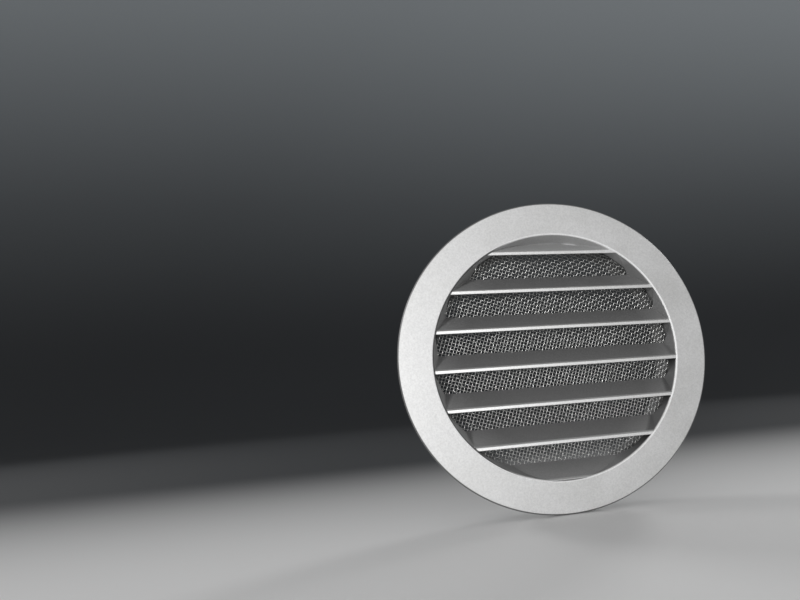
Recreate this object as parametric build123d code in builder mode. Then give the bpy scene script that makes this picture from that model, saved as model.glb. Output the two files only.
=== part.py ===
"""Round cast weather louvre for a wall duct of 125 mm.

The ring faces -Y, the collar runs back into the duct along +Y, and +Z is up. The origin is the
point where the louvre's axis meets the wall. Ring, collar and blades are one casting. A disc of
woven wire lies against the rear edges of the blades, and a sprung wire ring holds it there.
"""

import os
from math import asin, ceil, cos, degrees, hypot, radians, sin, tan

from build123d import *

# Collar that enters the duct, in mm
spigot_diameter = 124.0
collar_wall = 2.3
collar_length = 24.0
lead_in_chamfer = 1.0

# Ring that covers the edge of the hole in the wall
flange_diameter = 150.0
flange_thickness = 3.5
flange_skin = 2.0
rim_width = 2.5
face_edge_chamfer = 0.8

# Bore, which narrows from the mouth in the face to the ledge where the mesh lies
ledge_width = 2.3
mouth_flare = 1.8
mouth_chamfer = 0.5
core_draft = 0.4

# Fixed blades, which rise towards the duct and keep the rain out
blade_pitch = 18.25
blade_slope = 39.2
blade_depth = 9.5
blade_edge = 1.7
blade_nose_radius = 0.25
blade_recess = 0.5
blade_root = 0.6
sill_step = 0.7

# Woven wire disc
mesh_thickness = 0.8
mesh_wall = 0.4
mesh_edge_clearance = 0.3
mesh_seat_clearance = 0.05
mesh_border = 2.0
weave_pitch = 12.8
strand_width = 3.1
weave_turn = 18.5
smallest_gap = 6.0

# Sprung ring of flat wire behind the mesh
ring_width = 1.6
ring_height = 2.2
groove_depth = 1.0
ring_clearance = 0.1
ring_opening = 16.0

# Radii and depths that follow
spigot_radius = spigot_diameter / 2
flange_radius = flange_diameter / 2
rear_bore_radius = spigot_radius - collar_wall
window_radius = rear_bore_radius - ledge_width
mouth_radius = window_radius + mouth_flare
face_y = -flange_thickness
blade_front_y = face_y + blade_recess
seat_y = blade_front_y + blade_depth
blade_rise = blade_depth * tan(radians(blade_slope))
mesh_front_y = seat_y + mesh_seat_clearance
mesh_back_y = mesh_front_y + mesh_thickness
ring_front_y = mesh_back_y + ring_clearance

# The lowest blade is the sill, which starts at the bottom of the mouth
sill_z = sill_step - mouth_radius
blade_count = int((mouth_radius - sill_z) / blade_pitch) + 1
blade_heights = [sill_z + i * blade_pitch for i in range(blade_count)]


def nearest(vertices, radius, y):
    """The corner of a section that lies at a radius and a depth."""
    return vertices.sort_by_distance((radius, y, 0))[0]


# Blades as slanted strips, trimmed to the tapering bore and a little way into its wall
with BuildPart() as blades:
    with BuildSketch(Plane.YZ) as blade_sections:
        with Locations(*[(blade_front_y, z) for z in blade_heights]):
            Polygon(
                (0, 0),
                (blade_depth, blade_rise),
                (blade_depth, blade_rise - blade_edge),
                (0, -blade_edge),
                align=None,
            )
        fillet(blade_sections.vertices().group_by(Axis.X)[0], blade_nose_radius)
    extrude(amount=flange_radius, both=True)
    with BuildSketch(Plane.XY) as bore_section:
        Polygon(
            (0, face_y),
            (mouth_radius + blade_root, face_y),
            (window_radius + blade_root, seat_y),
            (0, seat_y),
            align=None,
        )
    revolve(axis=Axis.Y, mode=Mode.INTERSECT)

# Behind a line from each blade's front edge to the next blade's rear edge, the rear half of the
# mould forms the bore and leaves it wider
with BuildPart() as rear_cores:
    with BuildSketch(Plane.YZ) as core_sections:
        with Locations(*[(blade_front_y, z - blade_edge) for z in blade_heights[1:]]):
            Polygon(
                (0, 0),
                (blade_depth, blade_rise),
                (blade_depth, blade_rise + blade_edge - blade_pitch),
                align=None,
            )
    extrude(amount=flange_radius, both=True)
    with BuildSketch(Plane.XY) as core_outline:
        Polygon(
            (0, blade_front_y),
            (rear_bore_radius - core_draft, blade_front_y),
            (rear_bore_radius, seat_y),
            (0, seat_y),
            align=None,
        )
    revolve(axis=Axis.Y, mode=Mode.INTERSECT)

# Ring and collar as one turned section, with the blades run into the wall of the bore
with BuildPart() as louvre_casting:
    with BuildSketch(Plane.XY) as ring_section:
        Polygon(
            (mouth_radius, face_y),
            (flange_radius, face_y),
            (flange_radius, 0),
            (flange_radius - rim_width, 0),
            (flange_radius - rim_width, face_y + flange_skin),
            (spigot_radius, face_y + flange_skin),
            (spigot_radius, collar_length),
            (rear_bore_radius, collar_length),
            (rear_bore_radius, seat_y),
            (window_radius, seat_y),
            align=None,
        )
        chamfer(nearest(ring_section.vertices(), flange_radius, face_y), face_edge_chamfer)
        chamfer(nearest(ring_section.vertices(), mouth_radius, face_y), mouth_chamfer)
        chamfer(nearest(ring_section.vertices(), spigot_radius, collar_length), lead_in_chamfer)
    revolve(axis=Axis.Y)
    with BuildSketch(Plane.XY) as groove_section:
        with Locations((rear_bore_radius, mesh_back_y)):
            Rectangle(
                groove_depth,
                ring_width + 2 * ring_clearance,
                align=(Align.MIN, Align.MIN),
            )
    revolve(axis=Axis.Y, mode=Mode.SUBTRACT)
    add(rear_cores.part, mode=Mode.SUBTRACT)
    add(blades.part)
louvre_casting.part.label = "louvre_casting"

# Woven wire disc: strands in a thin wall, crowned where each one passes over the other
turn = radians(weave_turn)
mesh_radius = rear_bore_radius - mesh_edge_clearance
field_radius = mesh_radius - mesh_border
wall_y = mesh_front_y + (mesh_thickness - mesh_wall) / 2
weave_across = Vector(cos(turn), 0, -sin(turn))
strands_each_side = ceil(field_radius / weave_pitch)
gaps_across = 2 * strands_each_side
strand_range = range(-strands_each_side, strands_each_side + 1)
crossings = [
    (i, j)
    for i in strand_range
    for j in strand_range
    if weave_pitch * (hypot(i, j) + 0.5) < field_radius
]


def weave_plane(y, towards=1):
    """A plane across the louvre at a depth, turned as the weave is."""
    return Plane(origin=(0, y, 0), x_dir=weave_across, z_dir=(0, towards, 0))


with BuildPart() as crown:
    crown_height = (mesh_thickness - mesh_wall) / 2
    with BuildSketch(Plane.XZ) as crown_section:
        with BuildLine() as crown_line:
            arc = ThreePointArc(
                (-weave_pitch / 2, -crown_height),
                (0, crown_height),
                (weave_pitch / 2, -crown_height),
            )
            Line(arc @ 1, arc @ 0)
        make_face()
    extrude(amount=strand_width / 2, both=True)


def crown_places(plane, along):
    """Where crowns lie on one side of the wall; along picks which strands are on top at the middle."""
    return [
        plane.location
        * Location((i * weave_pitch, j * weave_pitch, 0), (0, 0, 90 * ((i + j + along) % 2)))
        for i, j in crossings
    ]


with BuildSketch() as gap_section:
    with GridLocations(weave_pitch, weave_pitch, gaps_across, gaps_across):
        Rectangle(weave_pitch - strand_width, weave_pitch - strand_width)
    Circle(field_radius, mode=Mode.INTERSECT)

with BuildPart() as wire_mesh:
    with BuildSketch(weave_plane(wall_y)) as wall_section:
        Circle(mesh_radius)
        add(gap_section.faces().filter_by(lambda gap: gap.area > smallest_gap), mode=Mode.SUBTRACT)
    extrude(amount=mesh_wall)
    with BuildSketch(weave_plane(mesh_front_y)) as border_section:
        Circle(mesh_radius)
        Circle(field_radius, mode=Mode.SUBTRACT)
    extrude(amount=mesh_thickness)
    with Locations(*crown_places(weave_plane(wall_y, towards=-1), along=0)):
        add(crown.part)
    with Locations(*crown_places(weave_plane(wall_y + mesh_wall), along=1)):
        add(crown.part)
wire_mesh.part.label = "wire_mesh"

# Sprung ring, open at the bottom, half sunk in the groove of the rear bore
half_opening = degrees(asin(ring_opening / 2 / rear_bore_radius))
ring_start = Plane.XY.rotated((0, 90 - half_opening, 0))
with BuildPart() as mesh_retaining_ring:
    with BuildSketch(ring_start) as ring_wire_section:
        with Locations((rear_bore_radius + groove_depth - ring_clearance, ring_front_y)):
            Rectangle(ring_height, ring_width, align=(Align.MAX, Align.MIN))
    revolve(axis=Axis.Y, revolution_arc=-(360 - 2 * half_opening))
mesh_retaining_ring.part.label = "mesh_retaining_ring"

os.makedirs("parts", exist_ok=True)
export_step(louvre_casting.part, "parts/louvre_casting.step")
export_step(wire_mesh.part, "parts/wire_mesh.step")
export_step(mesh_retaining_ring.part, "parts/mesh_retaining_ring.step")
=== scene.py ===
from math import cos, radians, sin, sqrt

import bmesh
import bpy
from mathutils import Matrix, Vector


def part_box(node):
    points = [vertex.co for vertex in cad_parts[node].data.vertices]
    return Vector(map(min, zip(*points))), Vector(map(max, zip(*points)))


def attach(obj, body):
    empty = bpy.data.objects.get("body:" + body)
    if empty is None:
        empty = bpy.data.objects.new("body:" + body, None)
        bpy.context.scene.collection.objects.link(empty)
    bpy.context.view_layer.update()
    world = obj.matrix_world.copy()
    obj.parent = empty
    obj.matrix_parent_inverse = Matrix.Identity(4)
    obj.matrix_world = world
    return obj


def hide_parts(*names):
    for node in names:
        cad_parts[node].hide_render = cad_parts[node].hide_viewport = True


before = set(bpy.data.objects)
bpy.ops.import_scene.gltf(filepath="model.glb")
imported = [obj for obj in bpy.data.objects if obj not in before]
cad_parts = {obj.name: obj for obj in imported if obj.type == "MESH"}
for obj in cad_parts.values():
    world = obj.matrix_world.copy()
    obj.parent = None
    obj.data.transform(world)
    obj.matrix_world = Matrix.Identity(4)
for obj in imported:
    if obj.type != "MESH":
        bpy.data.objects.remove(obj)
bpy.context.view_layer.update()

MM = 0.001
WHITE = (1.0, 1.0, 1.0)

# Casting, in metres
CASTING_LOW, CASTING_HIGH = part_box("louvre_casting")
FACE_Y = CASTING_LOW.y
BLADE_EDGE_Y = FACE_Y + 0.5 * MM
FACE_END_Y = FACE_Y + 0.7 * MM
BORE_START_Y = FACE_Y + 1.6 * MM
RING_RADIUS = CASTING_HIGH.x
COLLAR_RADIUS = 62.0 * MM
BLADE_PITCH = 18.25 * MM
SILL_Z = -58.5 * MM
TOP_BLADE_Z = SILL_Z + 6 * BLADE_PITCH

# Its bore, which narrows from the mouth to the window behind the blades
MOUTH_RADIUS = 59.2 * MM
MOUTH_EDGE_RADIUS = MOUTH_RADIUS + 0.5 * MM
WINDOW_RADIUS = 57.4 * MM
BORE_DEPTH = 10.0 * MM
BORE_TAPER = (MOUTH_RADIUS - WINDOW_RADIUS) / BORE_DEPTH
BORE_RADIUS_AT_ORIGIN = MOUTH_RADIUS + BORE_TAPER * FACE_Y

# Wire cloth, in metres
CLOTH_LOW, CLOTH_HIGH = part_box("wire_mesh")
CLOTH_MARGIN = 0.2 * MM
CLOTH_RADIUS = CLOTH_HIGH.x - CLOTH_MARGIN
CLOTH_Y = (CLOTH_LOW.y + CLOTH_HIGH.y) / 2
WEAVE_TURN = radians(-18.5)
WIRE_PITCH = 1.6 * MM
WIRE_DIAMETER = (CLOTH_HIGH.y - CLOTH_LOW.y) / 2
WIRE_BEVEL_STEPS = 1
CROWN_LENGTH = 0.7 * MM

# How far a wire strays to its sides in waves, in radians per metre and from one wire to the next
WANDER = 0.05 * MM
WANDER_RATE = 90.0
WANDER_SHIFT = 2.4

# Tones of the casting's face and bore, and the zones that are laid over each, first to last; all
# zones but behind_face are painted light or shade, blade_edges only in part
FACE_DARKER = (0.78, 0.78, 0.775)
FACE_LIGHTER = (0.84, 0.84, 0.84)
FACE_ZONES = {
    # The blades' front edges: their lightness is partly a smoother finish and partly a painted
    # highlight
    "blade_edges": (0.98, 0.98, 0.975),
    # A white painted highlight along the lip of the mouth
    "painted_mouth_highlight": WHITE,
    # A dark painted shade line just inside the mouth on the left
    "painted_left_mouth_shade": (0.15, 0.15, 0.15),
    # Painted shade on the lowest blade's front edge, below its top
    "painted_shade_below_sill": (0.3, 0.3, 0.3),
    # Painted shade along the ring's outer edge
    "painted_ring_edge_shade": (0.3, 0.3, 0.3),
    "behind_face": (0.7, 0.7, 0.7),
}
# The bore and the blades behind their edges, darkened all over as painted shade, and the zones laid
# over it, each of them painted light or shade
BORE_PAINTED_SHADE = (0.21, 0.21, 0.21)
BORE_ZONES = {
    # Painted light on the blades' ends towards the wall
    "painted_light_blade_ends": (0.3, 0.3, 0.3),
    # Painted light on the bore's left wall, where it lies in shade
    "painted_light_left_wall": (0.42, 0.42, 0.42),
    # Painted shade on the lower right wall of the bore
    "painted_shade_lower_right_wall": (0.16, 0.16, 0.16),
    # Painted shadow under each blade, on the right wall
    "painted_shadow_under_blades": (0.03, 0.03, 0.03),
    # Painted light on the top blade's slope and the bore above it
    "top": (0.46, 0.46, 0.46),
    # More painted light on the bore's wall above the top blade
    "painted_light_top_wall": (0.54, 0.54, 0.54),
    # Two painted highlights where the top blade meets the wall, a faint one on the left and a bright
    # one on the right
    "left_painted_highlight": (0.56, 0.56, 0.56),
    "right_painted_highlight": (0.84, 0.84, 0.84),
    # Painted shade on the collar's inside behind the wire cloth
    "painted_shade_behind_cloth": (0.2, 0.2, 0.2),
}
SPECK = (0.5, 0.5, 0.5)
SPECK_SHARE = 0.3

# How metallic the casting is left in a zone, its roughness, and what a zone adds to that
# The painted highlight on the mouth's lip is left nearly without metal
METALLIC_ZONES = {"behind_face": 0.4, "painted_mouth_highlight": 0.1}
ROUGHNESS = (0.56, 0.64)
ROUGHNESS_ZONES = {"blade_edges": -0.14, "behind_face": 0.2}

# Drawn wire: its darkest tone as a share of its colour, and how its roughness spreads
WIRE_DARKEST = 0.75
WIRE_SPREAD = (-0.05, 0.08)

# The middle of the grain group's noise, and nearly all of it
NOISE_MIDDLE = (0.35, 0.65)
NOISE_SPAN = (0.3, 0.7)

# Camera, as the photograph was framed
LENS = 21.15
SHIFT = (-0.1968, 0.0778)
EYE = Vector((-44.87, -223.05, -18.97)) * MM
EYE_TURN = (94.02, 4.60, -10.74)

# Studio, in metres
FLOOR_HALF_WIDTH = 4.0
FLOOR_BACK = 2.5
BACKDROP_HEIGHT = 3.0
SWEEP_OFFSET = 1.2
LAMP_SPREAD = radians(70)
ROOM_LIGHT = 0.39


def new_material(name):
    """An empty node material with its shader and a place to add nodes."""
    material = bpy.data.materials.new(name)
    material.use_nodes = True
    return material, material.node_tree.nodes, material.node_tree.links


def grain_group():
    """Fine grain of a blasted or drawn surface, with a slow clouding of its tone."""
    group = bpy.data.node_groups.new("fine_grain", "ShaderNodeTree")
    sockets = group.interface
    sockets.new_socket("Vector", in_out="INPUT", socket_type="NodeSocketVector")
    for name in ("Grains per metre", "Clouds per metre"):
        sockets.new_socket(name, in_out="INPUT", socket_type="NodeSocketFloat")
    for name in ("Height", "Cloud"):
        sockets.new_socket(name, in_out="OUTPUT", socket_type="NodeSocketFloat")
    nodes, links = group.nodes, group.links
    inside, outside = nodes.new("NodeGroupInput"), nodes.new("NodeGroupOutput")
    for scale, output, detail, roughness in (
        ("Grains per metre", "Height", 3.0, 0.65),
        ("Clouds per metre", "Cloud", 4.0, 0.55),
    ):
        noise = nodes.new("ShaderNodeTexNoise")
        noise.inputs["Detail"].default_value = detail
        noise.inputs["Roughness"].default_value = roughness
        links.new(inside.outputs["Vector"], noise.inputs["Vector"])
        links.new(inside.outputs[scale], noise.inputs["Scale"])
        links.new(noise.outputs["Fac"], outside.inputs[output])
    return group


def add_grain(nodes, links, grain, grains, clouds):
    """The grain group, placed in a material and read in object coordinates."""
    place = nodes.new("ShaderNodeTexCoord")
    group = nodes.new("ShaderNodeGroup")
    group.node_tree = grain
    group.inputs["Grains per metre"].default_value = grains
    group.inputs["Clouds per metre"].default_value = clouds
    links.new(place.outputs["Object"], group.inputs["Vector"])
    return place, group


def map_range(nodes, links, value, source, target=(0.0, 1.0), easing="LINEAR"):
    """A value carried from one span to another, held at the ends."""
    node = nodes.new("ShaderNodeMapRange")
    node.interpolation_type = easing
    node.clamp = True
    for socket, number in zip(("From Min", "From Max", "To Min", "To Max"), source + target):
        node.inputs[socket].default_value = number
    links.new(value, node.inputs["Value"])
    return node.outputs["Result"]


def feed(links, socket, value):
    """A socket fed by another one, or set to a number or a colour."""
    if isinstance(value, bpy.types.NodeSocket):
        links.new(value, socket)
    elif isinstance(value, tuple):
        socket.default_value = (*value, 1.0)
    else:
        socket.default_value = value


def mix_colours(nodes, links, share, first, second, blend="MIX"):
    """Two colours, or sockets that carry them, mixed by a share."""
    node = nodes.new("ShaderNodeMix")
    node.data_type = "RGBA"
    node.blend_type = blend
    for socket, value in (("Factor", share), ("A", first), ("B", second)):
        feed(links, node.inputs[socket], value)
    return node.outputs["Result"]


def calculate(nodes, links, operation, *values):
    """The result of a math node on numbers, or on sockets that carry them."""
    node = nodes.new("ShaderNodeMath")
    node.operation = operation
    for socket, value in zip(node.inputs, values):
        feed(links, socket, value)
    return node.outputs["Value"]


def add_bump(nodes, links, height, strength, distance):
    """A bump of the height, fed to the shader."""
    bump = nodes.new("ShaderNodeBump")
    bump.inputs["Strength"].default_value = strength
    bump.inputs["Distance"].default_value = distance
    links.new(height, bump.inputs["Height"])
    links.new(bump.outputs["Normal"], nodes["Principled BSDF"].inputs["Normal"])


def distance_from_axis(nodes, links, split):
    """How far a point lies from the axis of the louvre."""
    flat = nodes.new("ShaderNodeCombineXYZ")
    for axis in "XZ":
        links.new(split.outputs[axis], flat.inputs[axis])
    length = nodes.new("ShaderNodeVectorMath")
    length.operation = "LENGTH"
    links.new(flat.outputs["Vector"], length.inputs[0])
    return length.outputs["Value"]


def zone_share(nodes, links, limits):
    """How far a point is past every limit, each one a value, where it starts and where it is full."""
    share = None
    for value, start, full in limits:
        passed = map_range(nodes, links, value, (start, full))
        share = passed if share is None else calculate(nodes, links, "MULTIPLY", share, passed)
    return share


def casting_zones(nodes, links, place):
    """The zones of the casting that differ in tone or finish, most of them painted light or shade,
    each as a share from 0 to 1.
    """
    split = nodes.new("ShaderNodeSeparateXYZ")
    links.new(place.outputs["Object"], split.inputs["Vector"])
    across, depth, height = (split.outputs[axis] for axis in "XYZ")
    radius = distance_from_axis(nodes, links, split)

    # The radius with the taper of the bore taken out, which is the same all over the bore's wall
    radius_at_origin = calculate(nodes, links, "MULTIPLY_ADD", depth, BORE_TAPER, radius)

    # How far up the point lies from one blade's front edge to the next one's, which places the
    # painted shadow under each blade
    pitches = calculate(nodes, links, "MULTIPLY_ADD", height, 1 / BLADE_PITCH, -SILL_Z / BLADE_PITCH)
    gap_share = calculate(nodes, links, "FRACT", pitches)

    edge_depth = (depth, BLADE_EDGE_Y - 0.3 * MM, BLADE_EDGE_Y - 0.1 * MM)
    behind_face = (depth, FACE_END_Y, BORE_START_Y)
    before_bore = (depth, BORE_START_Y, FACE_END_Y)
    wall = (radius, WINDOW_RADIUS - 1.9 * MM, WINDOW_RADIUS - 0.4 * MM)
    skin = (radius_at_origin, BORE_RADIUS_AT_ORIGIN - 0.5 * MM, BORE_RADIUS_AT_ORIGIN - 0.2 * MM)
    left = (across, -30.0 * MM, -45.0 * MM)
    right = (across, 24.0 * MM, 32.0 * MM)
    top = (height, TOP_BLADE_Z - 7.0 * MM, TOP_BLADE_Z - 1.0 * MM)
    # Where the top blade meets the wall, which places the two painted highlights
    corner = (
        top,
        (radius, WINDOW_RADIUS - 0.8 * MM, WINDOW_RADIUS - 0.4 * MM),
        (radius, WINDOW_RADIUS + 0.5 * MM, WINDOW_RADIUS + 0.2 * MM),
    )
    limits = {
        # Partly painted highlight: the blades' front edges
        "blade_edges": (edge_depth,),
        # Painted shade on the lowest blade's front edge, below its top
        "painted_shade_below_sill": (edge_depth, (height, SILL_Z - 0.05 * MM, SILL_Z - 0.25 * MM)),
        # Painted highlight: the lip of the mouth
        "painted_mouth_highlight": (
            before_bore,
            (radius, MOUTH_EDGE_RADIUS - 0.6 * MM, MOUTH_EDGE_RADIUS - 0.4 * MM),
            (radius, MOUTH_EDGE_RADIUS + 0.15 * MM, MOUTH_EDGE_RADIUS),
        ),
        # Painted shade: a line just inside the mouth on the left
        "painted_left_mouth_shade": (
            before_bore,
            (across, -20.0 * MM, -30.0 * MM),
            (radius, MOUTH_EDGE_RADIUS - 1.1 * MM, MOUTH_EDGE_RADIUS - 0.9 * MM),
            (radius, MOUTH_EDGE_RADIUS - 0.15 * MM, MOUTH_EDGE_RADIUS - 0.3 * MM),
        ),
        # Painted shade along the ring's outer edge
        "painted_ring_edge_shade": ((radius, RING_RADIUS - 0.8 * MM, RING_RADIUS - 0.5 * MM),),
        "behind_face": (behind_face,),
        "bore": (behind_face, (radius, COLLAR_RADIUS - 0.4 * MM, COLLAR_RADIUS - 1.0 * MM)),
        # Painted light on the blades' ends towards the wall
        "painted_light_blade_ends": ((radius, WINDOW_RADIUS - 11.4 * MM, WINDOW_RADIUS - 0.4 * MM),),
        # Painted light on the bore's left wall, where it lies in shade
        "painted_light_left_wall": (left, skin),
        # Painted shade on the lower right wall of the bore
        "painted_shade_lower_right_wall": (right, wall, (height, 14.0 * MM, -16.0 * MM)),
        # Painted shadow under each blade, on the right wall
        "painted_shadow_under_blades": (right, wall, (height, 14.0 * MM, 6.0 * MM), (gap_share, 0.55, 0.9)),
        # Painted light on the top blade's slope and the bore above it
        "top": (top,),
        # More painted light on the bore's wall above the top blade
        "painted_light_top_wall": (top, (radius, WINDOW_RADIUS - 0.2 * MM, WINDOW_RADIUS + 0.2 * MM)),
        # Painted highlights where the top blade meets the wall
        "left_painted_highlight": (*corner, (across, -8.0 * MM, -5.0 * MM), (across, 5.0 * MM, 2.0 * MM)),
        "right_painted_highlight": (*corner, (across, 6.0 * MM, 9.0 * MM), (across, 15.0 * MM, 12.0 * MM)),
        # Painted shade on the collar's inside behind the wire cloth
        "painted_shade_behind_cloth": ((depth, CLOTH_LOW.y, CLOTH_HIGH.y),),
    }
    return {name: zone_share(nodes, links, zone) for name, zone in limits.items()}


def cast_aluminium(grain):
    """Cast aluminium: finely blasted and bright in front, as cast behind, rougher and less metallic
    in the bore, whose dark tone is painted shade; most zones laid over face and bore are painted
    light or shade.
    """
    material, nodes, links = new_material("cast_aluminium")
    shader = nodes["Principled BSDF"]
    place, group = add_grain(nodes, links, grain, grains=1300.0, clouds=45.0)
    cloud, height = group.outputs["Cloud"], group.outputs["Height"]
    zones = casting_zones(nodes, links, place)

    clouds = map_range(nodes, links, cloud, NOISE_MIDDLE)
    tone = mix_colours(nodes, links, clouds, FACE_DARKER, FACE_LIGHTER)
    # Zones laid over the face's clouded tone: painted light and shade, and the as-cast tone behind
    # the face
    for zone, colour in FACE_ZONES.items():
        tone = mix_colours(nodes, links, zones[zone], tone, colour)
    # The bore's painted shade, with its zones of painted light and shade laid over it
    bore = BORE_PAINTED_SHADE
    for zone, colour in BORE_ZONES.items():
        bore = mix_colours(nodes, links, zones[zone], bore, colour)
    tone = mix_colours(nodes, links, zones["bore"], tone, bore)
    specks = mix_colours(nodes, links, map_range(nodes, links, height, NOISE_SPAN), SPECK, WHITE)
    tone = mix_colours(nodes, links, SPECK_SHARE, tone, specks, "MULTIPLY")
    links.new(tone, shader.inputs["Base Color"])

    metallic = [
        map_range(nodes, links, zones[zone], (0.0, 1.0), (1.0, lowest))
        for zone, lowest in METALLIC_ZONES.items()
    ]
    links.new(calculate(nodes, links, "MULTIPLY", *metallic), shader.inputs["Metallic"])

    roughness = map_range(nodes, links, cloud, NOISE_SPAN, ROUGHNESS)
    for zone, change in ROUGHNESS_ZONES.items():
        roughness = calculate(nodes, links, "MULTIPLY_ADD", zones[zone], change, roughness)
    links.new(roughness, shader.inputs["Roughness"])
    add_bump(nodes, links, height, strength=0.5, distance=0.12 * MM)
    return material


def drawn_wire(grain, name, colour, roughness):
    """Drawn wire, a little uneven in tone."""
    material, nodes, links = new_material(name)
    shader = nodes["Principled BSDF"]
    shader.inputs["Metallic"].default_value = 1.0
    _, group = add_grain(nodes, links, grain, grains=9000.0, clouds=300.0)
    cloud, height = group.outputs["Cloud"], group.outputs["Height"]
    darker = tuple(WIRE_DARKEST * part for part in colour)
    tone = mix_colours(nodes, links, map_range(nodes, links, cloud, NOISE_MIDDLE), darker, colour)
    links.new(tone, shader.inputs["Base Color"])
    rough = tuple(roughness + change for change in WIRE_SPREAD)
    spread = map_range(nodes, links, height, NOISE_SPAN, rough)
    links.new(spread, shader.inputs["Roughness"])
    add_bump(nodes, links, height, strength=0.1, distance=0.01 * MM)
    return material


def wire_bends(wire, reach, crimp):
    """Where a wire bends: how far along it, and how far behind the middle of the cloth."""
    crossings = max(0, int((reach - CROWN_LENGTH) / WIRE_PITCH))
    bends = [(-reach, 0.0)]
    for crossing in range(-crossings, crossings + 1):
        back = crimp * (-1) ** (crossing + wire)
        bends += [(crossing * WIRE_PITCH + end * CROWN_LENGTH / 2, back) for end in (-1, 1)]
    return bends + [(reach, 0.0)]


def crimped_wires(name, across, other_way):
    """Parallel wires of a plain weave, each bent over and under the wires that cross it."""
    curve = bpy.data.curves.new(name, "CURVE")
    curve.dimensions = "3D"
    curve.bevel_depth = WIRE_DIAMETER / 2
    curve.bevel_resolution = WIRE_BEVEL_STEPS
    curve.use_fill_caps = True
    along = Vector((cos(WEAVE_TURN), 0, sin(WEAVE_TURN)))
    side = Vector((-sin(WEAVE_TURN), 0, cos(WEAVE_TURN)))
    if across:
        along, side = side, along
    outermost = int(CLOTH_RADIUS / WIRE_PITCH)
    for wire in range(-outermost, outermost + 1):
        offset = wire * WIRE_PITCH
        reach = sqrt(CLOTH_RADIUS**2 - offset**2)
        bends = wire_bends(wire, reach, WIRE_DIAMETER / 2 * other_way)
        spline = curve.splines.new("POLY")
        spline.points.add(len(bends) - 1)
        for point, (run, back) in zip(spline.points, bends):
            stray = WANDER * sin(run * WANDER_RATE + wire * WANDER_SHIFT)
            place = along * run + side * (offset + stray) + Vector((0, CLOTH_Y + back, 0))
            point.co = (*place, 1.0)
    drawn = bpy.data.objects.new(name + "_line", curve)
    mesh = bpy.data.meshes.new_from_object(drawn)
    bpy.data.objects.remove(drawn)
    wires = bpy.data.objects.new(name, mesh)
    bpy.context.scene.collection.objects.link(wires)
    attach(wires, "root")
    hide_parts("wire_mesh")
    return wires


def dress(piece, material):
    """One material all over a piece."""
    piece.data.materials.clear()
    piece.data.materials.append(material)


def floor_with_painted_shade():
    """A pale floor, darkened behind the louvre as painted shade, and lighter again towards the top of
    the backdrop.
    """
    material, nodes, links = new_material("floor_with_painted_shade")
    place = nodes.new("ShaderNodeTexCoord")
    split = nodes.new("ShaderNodeSeparateXYZ")
    links.new(place.outputs["Object"], split.inputs["Vector"])
    tone = (0.85, 0.85, 0.85)
    # Painted shade: near black just behind the louvre, easing to mid grey higher up the backdrop
    for axis, span, colour in (
        ("Y", (-0.07, 0.3), (0.028, 0.031, 0.035)),
        ("Z", (0.2, 3.2), (0.45, 0.49, 0.52)),
    ):
        share = map_range(nodes, links, split.outputs[axis], span, easing="SMOOTHSTEP")
        tone = mix_colours(nodes, links, share, tone, colour)
    links.new(tone, nodes["Principled BSDF"].inputs["Base Color"])
    nodes["Principled BSDF"].inputs["Roughness"].default_value = 0.9
    return material


def sweep_floor():
    """A floor that curves up into a backdrop."""
    shape = bmesh.new()
    low = CASTING_LOW.z
    half, back = FLOOR_HALF_WIDTH, FLOOR_BACK
    corners = ((-half, -half), (half, -half), (half, back), (-half, back))
    floor = shape.faces.new([shape.verts.new((x, y, low)) for x, y in corners])
    edge = next(e for e in floor.edges if all(v.co.y == back for v in e.verts))
    raised = bmesh.ops.extrude_edge_only(shape, edges=[edge])["geom"]
    top = [v for v in raised if isinstance(v, bmesh.types.BMVert)]
    bmesh.ops.translate(shape, vec=(0, 0, BACKDROP_HEIGHT), verts=top)
    foot = [e for e in shape.edges if all(v.co.y == back and v.co.z == low for v in e.verts)]
    bmesh.ops.bevel(
        shape,
        geom=foot,
        affect="EDGES",
        offset=SWEEP_OFFSET,
        segments=16,
        profile=0.5,
        material=-1,
    )
    mesh = bpy.data.meshes.new("floor")
    shape.to_mesh(mesh)
    shape.free()
    mesh.shade_smooth()
    sweep = bpy.data.objects.new("floor", mesh)
    bpy.context.scene.collection.objects.link(sweep)
    dress(sweep, floor_with_painted_shade())


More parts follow.
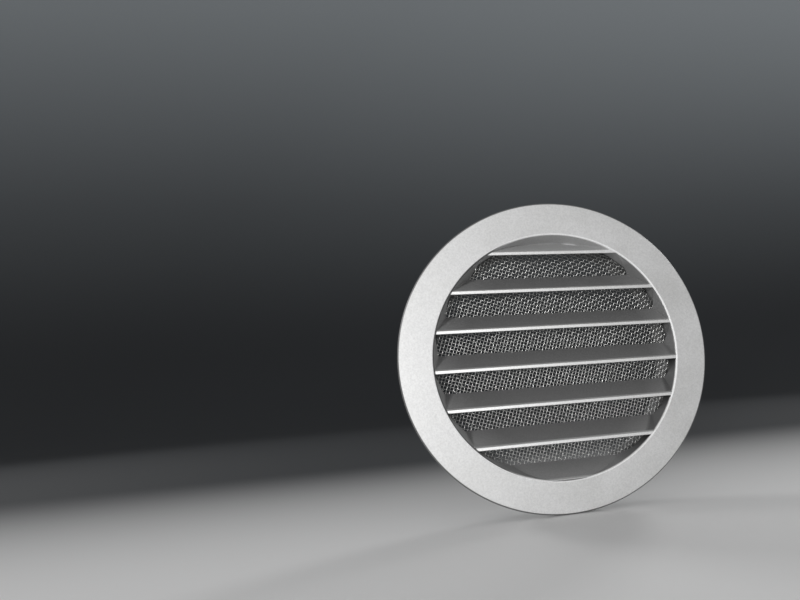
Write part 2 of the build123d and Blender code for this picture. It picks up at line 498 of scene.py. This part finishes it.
def soft_light(name, place, size, power, only=()):
    """A square soft light that faces the louvre, and may light some pieces only."""
    lamp = bpy.data.lights.new(name, "AREA")
    lamp.shape = "SQUARE"
    lamp.size = size
    lamp.energy = power
    lamp.spread = LAMP_SPREAD
    light = bpy.data.objects.new(name, lamp)
    light.visible_camera = False
    light.location = place
    light.rotation_euler = (-Vector(place)).to_track_quat("-Z", "Y").to_euler()
    bpy.context.scene.collection.objects.link(light)
    if only:
        lit = bpy.data.collections.new(name + "_lights")
        for piece in only:
            lit.objects.link(piece)
        light.light_linking.receiver_collection = lit


def room_light():
    """Even light from all sides."""
    world = bpy.data.worlds.new("studio")
    world.use_nodes = True
    background = world.node_tree.nodes["Background"]
    background.inputs["Color"].default_value = (*WHITE, 1.0)
    background.inputs["Strength"].default_value = ROOM_LIGHT
    bpy.context.scene.world = world


def set_camera():
    """The camera, at the photograph's place and framing."""
    lens = bpy.data.cameras.new("camera")
    lens.lens = LENS
    lens.sensor_width = 36.0
    lens.shift_x, lens.shift_y = SHIFT
    lens.clip_start = 0.01
    camera = bpy.data.objects.new("camera", lens)
    camera.location = EYE
    camera.rotation_euler = [radians(angle) for angle in EYE_TURN]
    bpy.context.scene.collection.objects.link(camera)
    bpy.context.scene.camera = camera


grain = grain_group()
mesh_wire = drawn_wire(grain, "mesh_wire", (0.47, 0.47, 0.46), roughness=0.3)
spring_wire = drawn_wire(grain, "spring_wire", (0.22, 0.22, 0.22), roughness=0.5)
warp_wires = crimped_wires("warp_wires", across=False, other_way=1)
weft_wires = crimped_wires("weft_wires", across=True, other_way=-1)
dress(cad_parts["louvre_casting"], cast_aluminium(grain))
dress(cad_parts["mesh_retaining_ring"], spring_wire)
dress(warp_wires, mesh_wire)
dress(weft_wires, mesh_wire)

set_camera()
sweep_floor()
soft_light("key_light", (-1.24, -2.0, 0.1), size=0.34, power=3.2)
soft_light("front_light", (-0.1, -2.0, 0.12), size=0.34, power=0.4)
soft_light("mesh_light", (1.9, -0.55, 0.05), size=0.34, power=3.4, only=(warp_wires, weft_wires))
soft_light("back_light_right", (1.5, 1.4, 1.15), size=0.5, power=1.2)
soft_light("back_light_left", (-1.7, 1.3, 0.95), size=0.5, power=1.6)
room_light()
bpy.context.scene.view_settings.view_transform = "Standard"
